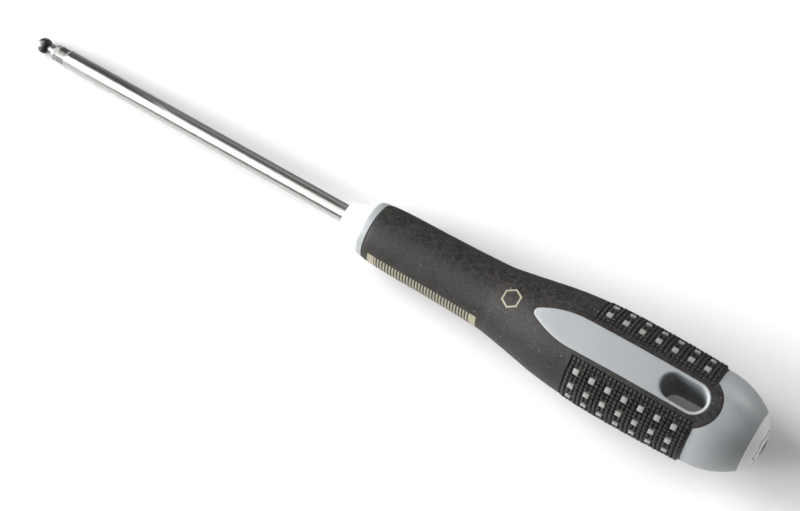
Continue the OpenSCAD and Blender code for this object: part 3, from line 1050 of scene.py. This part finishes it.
def tool_place():
    """Group: from a position, the place along the tool in millimetres, the angle round it in
    degrees, millimetres across and up, and the three lengths as one vector.
    """

    def fill(tree, entry):
        axes, nose = tool_frame()
        shifted = vectors(tree, "SUBTRACT", "Vector", entry["Position"], nose)
        along, across, up = (
            vectors(tree, "DOT_PRODUCT", "Value", shifted, axis / MM) for axis in axes
        )
        angle = maths(tree, "DEGREES", maths(tree, "ARCTAN2", across, up))
        spot = add(tree, "CombineXYZ", X=along, Y=across, Z=up).outputs[0]
        return along, angle, across, up, spot

    outputs = {"Along": "Float", "Angle": "Float", "Across": "Float", "Up": "Float"}
    return group("Tool place", {"Position": None}, {**outputs, "Spot": "Vector"}, fill)


def fine_grain():
    """Group: moulded or ground grain. Two noises, one Detail times finer and weaker, add up to a
    height, and a slow one gives the mottle.
    """
    weaker, slower = 0.6, 0.12

    def fill(tree, entry):
        spot, scale = entry["Spot"], entry["Scale"]
        finer = times(tree, scale, entry["Detail"])
        coarse = add(tree, "TexNoise", Vector=spot, Scale=scale, Detail=3.0).outputs["Fac"]
        fine = add(tree, "TexNoise", Vector=spot, Scale=finer, Detail=2.0).outputs["Fac"]
        slow = times(tree, scale, slower)
        mottle = add(tree, "TexNoise", Vector=spot, Scale=slow, Detail=4.0).outputs["Fac"]
        return maths(tree, "MULTIPLY_ADD", fine, weaker, coarse), mottle

    inputs = {"Spot": None, "Scale": 2.0, "Detail": 4.0}
    return group("Fine grain", inputs, {"Height": "Float", "Mottle": "Float"}, fill)


def specks():
    """Group: scattered small specks of dust or wear. Each cell of a Voronoi pattern holds one
    speck of its own size, and Share keeps only some of them.
    """
    soft = 0.06

    def fill(tree, entry):
        cells = add(tree, "TexVoronoi", Vector=entry["Spot"], Scale=entry["Scale"]).outputs
        pick = add(tree, "SeparateColor", Color=cells["Color"]).outputs
        size = times(tree, entry["Size"], pick[1])
        outside = maths(tree, "SUBTRACT", cells["Distance"], size)
        kept = maths(tree, "LESS_THAN", pick[0], entry["Share"])
        return [times(tree, ramp(tree, outside, 0.0, soft, 1.0, 0.0), kept)]

    inputs = {"Spot": None, "Scale": 1.0, "Size": 0.15, "Share": 0.3}
    return group("Specks", inputs, {"Mask": "Float"}, fill)


def hexagon_mark():
    """Group: the outline and the inside of an upright hexagon. The distance is the larger of |x|
    and |x| / 2 + |y| * 0.866, less half the width across its flats.
    """
    soft = 0.03

    def fill(tree, entry):
        x, y = (maths(tree, "ABSOLUTE", entry[label]) for label in "XY")
        slanted = maths(tree, "MULTIPLY_ADD", y, math.sqrt(0.75), times(tree, x, 0.5))
        distance = maths(tree, "SUBTRACT", most(tree, x, slanted), entry["Half width"])
        half_line = times(tree, entry["Line"], 0.5)
        edge = maths(tree, "SUBTRACT", maths(tree, "ABSOLUTE", distance), half_line)
        return [ramp(tree, value, -soft, soft, 1.0, 0.0) for value in (edge, distance)]

    inputs = {"X": 0.0, "Y": 0.0, "Half width": 2.0, "Line": 0.3}
    return group("Hexagon mark", inputs, {"Outline": "Float", "Inside": "Float"}, fill)


def emptied(collection, name):
    """A material or world of that name, made if it isn't there, and its node tree, emptied."""
    owner = collection.get(name) or collection.new(name)
    owner.use_nodes = True
    owner.node_tree.nodes.clear()
    return owner, owner.node_tree


class Finish:
    """A material being made: its tree, its Principled shader, and the tool's own coordinates."""

    def __init__(self, name, **constants):
        self.material, self.tree = emptied(bpy.data.materials, name)
        self.shader = add(self.tree, "BsdfPrincipled", **constants)
        add(self.tree, "OutputMaterial", Surface=self.shader.outputs[0])
        position = add(self.tree, "TexCoord").outputs["Object"]
        self.place = self.use(tool_place(), Position=position)

    def use(self, node_group, **inputs):
        """Places a node group with its own values, and gives its outputs."""
        return add(self.tree, "Group", {"node_tree": node_group}, **inputs).outputs

    def on_tool(self, node_group, **inputs):
        """Places a node group that needs a spot on the tool."""
        return self.use(node_group, Spot=self.place["Spot"], **inputs)

    def set(self, name, value):
        """Links a value to the shader's input of that name."""
        self.tree.links.new(value, self.shader.inputs[name])

    def bump(self, height, distance, strength):
        """Feeds a height in Blender units of distance to the shader's normal."""
        node = add(self.tree, "Bump", Strength=strength, Distance=distance, Height=height)
        self.set("Normal", node.outputs[0])


def rgba(colour):
    """A colour with full alpha."""
    return (*colour, 1.0)


def shade(colour, factor):
    """A colour made lighter or darker."""
    return rgba(min(1.0, part * factor) for part in colour)


BLACK = rgba((0.0, 0.0, 0.0))
PLAIN_WHITE = rgba((1.0, 1.0, 1.0))


def steel(scene):
    """Ground steel: fine lines round the shaft and slow changes of sheen along it. A painted dark
    reflection lies on the rear of the ball and on the hexagon's upper +Y side, and thinner on its
    -Y
    side and on the neck: dark colour that stands in for the dark surroundings mirrored there.
    """
    finish = Finish("Ground_steel", Metallic=1.0, Anisotropic=0.8, Anisotropic_Rotation=0.25)
    tree, colours, blade = finish.tree, scene.driver_finish, scene.driver_blade
    along, angle = finish.place["Along"], finish.place["Angle"]
    drawn = vectors(tree, "MULTIPLY", "Vector", finish.place["Spot"], (6.0, 0.5, 0.5))
    grain = finish.use(fine_grain(), Spot=drawn, Scale=1.2, Detail=3.0)
    slow = finish.on_tool(fine_grain(), Scale=0.9, Detail=3.0)
    # Places in millimetres of the painted dark reflection: the ball's band sets in, is full, fades
    # and is gone; the neck's starts; the hexagon's starts and ends.
    front = -blade.reach / MM
    band_in, full, fading, gone = front + 1.0, front + 2.6, front + 4.0, front + 4.4
    neck_in, flats_in = front + 3.8, front + 6.9
    flats_out = (blade.hexagon - blade.reach) / MM + 0.1
    wavy = maths(tree, "MULTIPLY_ADD", slow["Height"], 0.5, along)
    band = ramp(tree, wavy, band_in, full, 0.3, 1.0)
    ball = times(tree, band, ramp(tree, wavy, fading, gone, 1.0, 0.0))
    flats = between(tree, along, flats_in, flats_out, 0.15)
    tilted = maths(tree, "MULTIPLY_ADD", slow["Height"], 14.0, angle)
    beyond = ramp(tree, angle, 100.0, 130.0, 1.0, 0.0)
    upper = times(tree, ramp(tree, tilted, -16.0, 36.0, 0.12, 1.0), beyond)
    lower = ramp(tree, angle, -18.0, -48.0, 0.0, 0.5)
    neck = between(tree, along, neck_in, flats_in, 0.1)
    # painted dark reflection: the ball's band, the hexagon's facets by their angle, and the neck
    dark = most(tree, ball, times(tree, flats, most(tree, upper, lower)))
    dark = most(tree, dark, times(tree, neck, 0.4))
    base = blend(tree, slow["Mottle"], shade(colours.steel, 0.93), rgba(colours.steel))
    finish.set("Base Color", blend(tree, dark, base, rgba(colours.painted_dark_reflection)))
    rough = ramp(tree, grain["Height"], 0.5, 1.1, 0.34, 0.42)
    finish.set("Roughness", maths(tree, "MULTIPLY_ADD", dark, 0.12, rough))
    finish.bump(grain["Height"], 0.004 * MM, 0.35)
    tangent = add(tree, "Tangent", {"direction_type": "RADIAL", "axis": "X"})
    finish.set("Tangent", tangent.outputs[0])
    return finish.material


def smooth_plastic(name, colour, roughness):
    """A finish of smooth moulded plastic, and its tint: faint orange peel, slow changes of sheen,
    and a few rubbed spots.
    """
    finish = Finish(name)
    tree = finish.tree
    grain = finish.on_tool(fine_grain(), Scale=1.6, Detail=5.0)
    rubbed = finish.on_tool(specks(), Scale=0.35, Size=0.05, Share=0.25)["Mask"]
    tint = blend(tree, grain["Mottle"], shade(colour, 0.975), shade(colour, 1.02))
    tint = blend(tree, rubbed, tint, shade(colour, 0.9))
    rough = ramp(tree, grain["Height"], 0.5, 1.1, roughness - 0.04, roughness + 0.05)
    finish.set("Roughness", maths(tree, "MULTIPLY_ADD", rubbed, 0.12, rough))
    finish.bump(grain["Height"], 0.012 * MM, 0.3)
    return finish, tint


GREY_ROUGHNESS = 0.38


def grey_plastic(scene):
    """Light grey moulded plastic."""
    finish, tint = smooth_plastic("Grey_plastic", scene.driver_finish.grey, GREY_ROUGHNESS)
    finish.set("Base Color", tint)
    return finish.material


def window_plastic(scene):
    """The grey plastic at the bottom of the windows, made a little darker as painted shade between
    the studs, and a little warmer.
    """
    finish, tint = smooth_plastic("Window_plastic", scene.driver_finish.window, GREY_ROUGHNESS)
    finish.set("Base Color", tint)
    return finish.material


def white_plastic(scene):
    """White moulded plastic, with a dark hexagon inside an outline of one, printed in the middle
    of the end cap.
    """
    outline, inside, line = 4.0, 2.2, 0.28  # half widths across flats, and the line's width, in mm
    colours, end = scene.driver_finish, Shape(scene).end
    finish, tint = smooth_plastic("White_plastic", colours.white, 0.34)
    tree, place = finish.tree, finish.place
    outer, inner = (
        finish.use(hexagon_mark(), X=place["Across"], Y=place["Up"], Half_width=half, Line=line)
        for half in (outline, inside)
    )
    printed = most(tree, outer["Outline"], inner["Inside"])
    on_cap = maths(tree, "GREATER_THAN", place["Along"], end / MM)
    finish.set("Base Color", blend(tree, times(tree, printed, on_cap), tint, rgba(colours.ink)))
    return finish.material


# The print on the grip. Lengths are in millimetres and angles in degrees, in the tool's frame.
STRIP_ENDS, STRIP_SIDES = (11.2, 44.3), (-104.0, -59.0)
BARS_ENDS, HALF_BAR_STEP = (13.2, 42.2), 0.45
MARK_PLACE, MARK_HALF_WIDTH, MARK_LINE = 50.6, 2.1, 0.42
MARK_RADIUS = 9.6  # about the grip's radius there, to turn an angle into a length


def soft_rubber(scene):
    """Matte soft plastic: fine grain, a mottle of dull and rubbed skin about a millimetre across,
    scattered dust, a pale printed strip with even bars on the -Y side, and a pale hexagon outline
    on top.
    """
    finish = Finish("Soft_rubber", Specular_IOR_Level=0.42)
    tree, colours = finish.tree, scene.driver_finish
    along, angle = finish.place["Along"], finish.place["Angle"]
    rubber = colours.rubber
    grain = finish.on_tool(fine_grain(), Scale=1.5, Detail=4.0)
    broad = finish.on_tool(fine_grain(), Scale=0.95, Detail=3.0)["Height"]
    dust = finish.on_tool(specks(), Scale=0.9, Size=0.12, Share=0.22)["Mask"]
    lint = finish.on_tool(specks(), Scale=2.3, Size=0.2, Share=0.10)["Mask"]
    low, high = 0.58, 1.02  # the heights between which the skin goes from dull to rubbed
    dull = blend(tree, grain["Mottle"], shade(rubber, 0.1), shade(rubber, 0.7))
    rubbed = blend(tree, grain["Mottle"], shade(rubber, 1.1), shade(rubber, 2.6))
    tint = blend(tree, ramp(tree, broad, low, high), dull, rubbed)
    dusty = most(tree, dust, times(tree, lint, 0.35))
    tint = blend(tree, times(tree, dusty, 0.7), tint, rgba(colours.dust))
    strip = between(tree, along, *STRIP_ENDS, 0.08)
    strip = times(tree, strip, between(tree, angle, *STRIP_SIDES, 0.5))
    bar = maths(tree, "PINGPONG", maths(tree, "SUBTRACT", along, BARS_ENDS[0]), HALF_BAR_STEP)
    bars = ramp(tree, bar, 0.2, 0.26, 1.0, 0.0)
    bars = times(tree, bars, between(tree, along, *BARS_ENDS, 0.05))
    x = maths(tree, "SUBTRACT", along, MARK_PLACE)
    y = times(tree, angle, math.radians(1.0) * MARK_RADIUS)
    mark = finish.use(hexagon_mark(), X=x, Y=y, Half_width=MARK_HALF_WIDTH, Line=MARK_LINE)
    printed = times(tree, strip, maths(tree, "SUBTRACT", 1.0, bars))
    printed = most(tree, printed, mark["Outline"])
    finish.set("Base Color", blend(tree, printed, tint, rgba(colours.print)))
    finish.set("Roughness", ramp(tree, broad, low, high, 0.43, 0.73))
    finish.bump(grain["Height"], 0.12 * MM, 0.8)
    return finish.material


# Between which places in metres the floor changes: its lift for the camera sets in beside the
# tool's middle plane, leaving painted shade under the tool, and gets full far from the middle, and
# in reflections it is painted dark along Y.
NEAR_LIFT, FAR_LIFT = (5 * MM, 16 * MM), (0.35, 1.5)
PAINTED_REFLECTION_SPAN = (-2 * MM, 12 * MM)


def pale_floor(scene):
    """Matte pale floor with a faint mottle. For the camera it is lifted to white, more strongly
    far from the tool, and keeps the tool's shadow near it; next to the tool's middle plane the
    lift is left out, which adds painted shade under the tool. In reflections its +Y side is
    painted dark, a painted reflection.
    """
    material, tree = emptied(bpy.data.materials, "Pale_floor")
    position = add(tree, "TexCoord").outputs["Object"]
    grain = add(tree, "Group", {"node_tree": fine_grain()}, Spot=position, Scale=18.0, Detail=5.0)
    colour = scene.driver_finish.floor
    tint = blend(tree, grain.outputs["Mottle"], shade(colour, 0.99), shade(colour, 1.01))
    path = add(tree, "LightPath").outputs
    across = add(tree, "SeparateXYZ", Vector=position).outputs["Y"]
    # reflected rays see the +Y side painted dark: a painted reflection
    painted_reflection_dark = times(tree, path["Is Glossy Ray"], ramp(tree, across, *PAINTED_REFLECTION_SPAN, 0.0, 0.8))
    beside = maths(tree, "ABSOLUTE", across)
    far = ramp(tree, vectors(tree, "LENGTH", "Value", position), *FAR_LIFT)
    # no lift within NEAR_LIFT of the middle plane: painted shade under the tool
    lift = most(tree, ramp(tree, beside, *NEAR_LIFT, 0.0, scene.driver_stage.lift), far)
    shader = add(
        tree,
        "BsdfPrincipled",
        Base_Color=blend(tree, painted_reflection_dark, tint, BLACK),
        Roughness=0.85,
        Specular_IOR_Level=0.1,
        Emission_Color=PLAIN_WHITE,
        Emission_Strength=times(tree, path["Is Camera Ray"], lift),
    )
    add(tree, "OutputMaterial", Surface=shader.outputs[0])
    return material


# ---------------------------------------------------------------- operators


class DRIVER_OT_blade(Operator):
    """Builds the steel blade with its ball-end hexagon"""

    bl_idname = "driver.blade"
    bl_label = "Blade"

    def execute(self, context):
        make_piece("blade_steel", build_blade, steel, "blade", sharp=28)
        return {"FINISHED"}


class DRIVER_OT_core(Operator):
    """Builds the white core with its nose"""

    bl_idname = "driver.core"
    bl_label = "Core"

    def execute(self, context):
        make_piece("core_nose", build_core, white_plastic, "inner_core")
        return {"FINISHED"}


class DRIVER_OT_body(Operator):
    """Builds the collar and the handle under the grip"""

    bl_idname = "driver.body"
    bl_label = "Collar and Body"

    def execute(self, context):
        make_piece("body_collar", build_body, grey_plastic, "handle_body")
        return {"FINISHED"}


class DRIVER_OT_inlays(Operator):
    """Builds both inlays and the hanging slot between them"""

    bl_idname = "driver.inlays"
    bl_label = "Inlays and Slot"

    def execute(self, context):
        make_piece("body_inlays", build_inlays, grey_plastic)
        return {"FINISHED"}


class DRIVER_OT_dome(Operator):
    """Builds the dome behind the panels"""

    bl_idname = "driver.dome"
    bl_label = "Dome"

    def execute(self, context):
        make_piece("body_dome", build_dome, grey_plastic)
        return {"FINISHED"}


class DRIVER_OT_windows(Operator):
    """Builds the small square windows among the studs"""

    bl_idname = "driver.windows"
    bl_label = "Windows"

    def execute(self, context):
        make_piece("body_windows", build_windows, window_plastic)
        return {"FINISHED"}


class DRIVER_OT_cap(Operator):
    """Builds the white end cap"""

    bl_idname = "driver.cap"
    bl_label = "End Cap"

    def execute(self, context):
        make_piece("end_cap_white", build_cap, white_plastic, "end_cap")
        return {"FINISHED"}


class DRIVER_OT_sleeve(Operator):
    """Builds the smooth soft grip and its borders round the inlays"""

    bl_idname = "driver.sleeve"
    bl_label = "Grip Sleeve"

    def execute(self, context):
        make_piece("grip_sleeve", build_sleeve, soft_rubber, "grip")
        return {"FINISHED"}


class DRIVER_OT_panels(Operator):
    """Builds the two textured panels with their studs"""

    bl_idname = "driver.panels"
    bl_label = "Grip Panels"

    def execute(self, context):
        for name, side in (("grip_panel_left", 1), ("grip_panel_right", -1)):
            make_piece(name, partial(build_panel, side=side), soft_rubber)
        return {"FINISHED"}


class DRIVER_OT_stage(Operator):
    """Sets up the floor, the lights, the surroundings and the camera"""

    bl_idname = "driver.stage"
    bl_label = "Stage"

    def execute(self, context):
        scene = context.scene
        stage = scene.driver_stage
        make_floor(scene)
        for name, direction, power, mirrored in LIGHTS:
            make_light(name, direction, power * stage.level, mirrored)
        make_world(scene, stage)
        make_camera(scene, stage)
        scene.view_settings.view_transform = "Standard"
        return {"FINISHED"}


FLOOR_HALF = 6.0
FLOOR_LINES = 13


def make_floor(scene):
    """A flat square floor at height 0, as a grid of points."""
    line = np.linspace(-FLOOR_HALF, FLOOR_HALF, FLOOR_LINES)
    x, y = np.meshgrid(line, line)
    points = np.stack([x, y, 0 * x], axis=-1).reshape(-1, 3)
    mesh = bpy.data.meshes.new("Floor")
    mesh.from_pydata(points.tolist(), [], grid_faces(FLOOR_LINES, FLOOR_LINES).tolist())
    mesh.materials.append(pale_floor(scene))
    floor = new_object("Floor", mesh)


# Soft square lights: name, direction from the tool, power in watts, and whether the steel
# mirrors it. Most light comes from the tip's side.
LIGHTS = (
    ("Tip_light", (-0.77, 0.0, 0.64), 50.0, True),
    ("Tip_left_light", (-0.54, -0.54, 0.64), 27.0, True),
    ("Tip_right_light", (-0.54, 0.54, 0.64), 12.0, False),
    ("Low_light", (-0.89, -0.37, 0.28), 96.0, True),
    ("Back_light", (0.37, 0.89, 0.28), 27.0, True),
    ("Top_light", (0.22, 0.38, 0.90), 4.0, True),
)
LIGHT_DISTANCE = 2.6
LIGHT_SIDE = 1.2


def make_light(name, direction, power, mirrored):
    """A soft square light in a direction from the tool, turned towards it, with one side across
    the tool. An unmirrored one lights the surfaces but isn't seen in them.
    """
    data = bpy.data.lights.new(name, "AREA")
    data.size = LIGHT_SIDE
    data.energy = power
    lamp = new_object(name, data)
    towards = Vector(direction).normalized()
    side = (Vector((0, 1, 0)) - towards * towards.y).normalized()
    turn_to = Matrix((side, towards.cross(side), towards)).transposed()
    lamp.location = towards * LIGHT_DISTANCE
    lamp.rotation_euler = turn_to.to_euler()
    lamp.visible_glossy = mirrored


# The light from all round: how much each axis counts, between which sums the level rises, and
# the levels there.
SKY_SIDE = (-0.62, -0.62, 0.3)
SKY_RISE, SKY_LEVELS = (-0.7, 0.8), (0.8, 1.6)


def make_world(scene, stage):
    """Dim light from all round, up to twice as strong from the -X, -Y side and from above as from
    the other side, with a white background for the camera.
    """
    scene.world, tree = emptied(bpy.data.worlds, "Studio")
    direction = add(tree, "TexCoord").outputs["Generated"]
    side = vectors(tree, "DOT_PRODUCT", "Value", direction, SKY_SIDE)
    level = times(tree, ramp(tree, side, *SKY_RISE, *SKY_LEVELS), stage.sky)
    seen = add(tree, "LightPath").outputs["Is Camera Ray"]
    strength = blend(tree, seen, level, 1.0, "FLOAT")
    shader = add(tree, "Background", Color=PLAIN_WHITE, Strength=strength)
    add(tree, "OutputWorld", Surface=shader.outputs[0])


# The camera's axes and its place in millimetres, in the tool's own frame.
CAMERA_RIGHT = (0.84454603, 0.5209624, -0.12385548)
CAMERA_UP = (-0.47405471, 0.8349538, 0.27950723)
CAMERA_BACK = (0.24902636, -0.17734244, 0.95212159)
CAMERA_PLACE = (148.68768897, -95.7717927, 500.46207258)
SENSOR_WIDTH = 36.0
NEAREST, FARTHEST = 0.01, 50.0


def make_camera(scene, stage):
    """The camera above the tool, given by its place and axes in the tool's own frame."""
    axes = lay_down(np.array([CAMERA_RIGHT, CAMERA_UP, CAMERA_BACK])) - lay_down(np.zeros((3, 3)))
    place = lay_down(np.array(CAMERA_PLACE) * MM)
    data = bpy.data.cameras.new("Camera")
    data.lens = stage.lens
    data.sensor_width = SENSOR_WIDTH
    data.clip_start, data.clip_end = NEAREST, FARTHEST
    camera = new_object("Camera", data)
    turn_to = Matrix(axes.tolist()).transposed().to_4x4()
    camera.matrix_world = Matrix.Translation(place.tolist()) @ turn_to
    scene.camera = camera


class DRIVER_PT_panel(Panel):
    """Lists the sizes and the buttons that build each piece"""

    bl_idname = "DRIVER_PT_panel"
    bl_label = "Hexagon Screwdriver"
    bl_space_type = "VIEW_3D"
    bl_region_type = "UI"
    bl_category = "Driver"

    def draw(self, context):
        layout = self.layout
        for operator in OPERATORS:
            layout.operator(operator.bl_idname)
        for label, (attribute, _) in SETTINGS.items():
            box = layout.box()
            box.label(text=label)
            settings = getattr(context.scene, attribute)
            for key in settings.bl_rna.properties.keys():
                if key not in {"rna_type", "name"}:
                    box.prop(settings, key)


SETTINGS = {
    "Blade": ("driver_blade", DriverBlade),
    "Handle": ("driver_handle", DriverHandle),
    "Inlays and slot": ("driver_inlay", DriverInlay),
    "Soft grip": ("driver_grip", DriverGrip),
    "Finish": ("driver_finish", DriverFinish),
    "Stage": ("driver_stage", DriverStage),
}
OPERATORS = (
    DRIVER_OT_blade,
    DRIVER_OT_core,
    DRIVER_OT_body,
    DRIVER_OT_inlays,
    DRIVER_OT_dome,
    DRIVER_OT_windows,
    DRIVER_OT_cap,
    DRIVER_OT_sleeve,
    DRIVER_OT_panels,
    DRIVER_OT_stage,
)


def register():
    """Registers the settings, the operators and the panel."""
    for attribute, kind in SETTINGS.values():
        bpy.utils.register_class(kind)
        setattr(bpy.types.Scene, attribute, PointerProperty(type=kind))
    for operator in OPERATORS:
        bpy.utils.register_class(operator)
    bpy.utils.register_class(DRIVER_PT_panel)


def unregister():
    """Takes everything away again."""
    bpy.utils.unregister_class(DRIVER_PT_panel)
    for operator in reversed(OPERATORS):
        bpy.utils.unregister_class(operator)
    for attribute, kind in reversed(SETTINGS.values()):
        delattr(bpy.types.Scene, attribute)
        bpy.utils.unregister_class(kind)


def main():
    register()
    for operator in OPERATORS:
        group_name, name = operator.bl_idname.split(".")
        getattr(getattr(bpy.ops, group_name), name)()


if __name__ == "__main__":
    main()
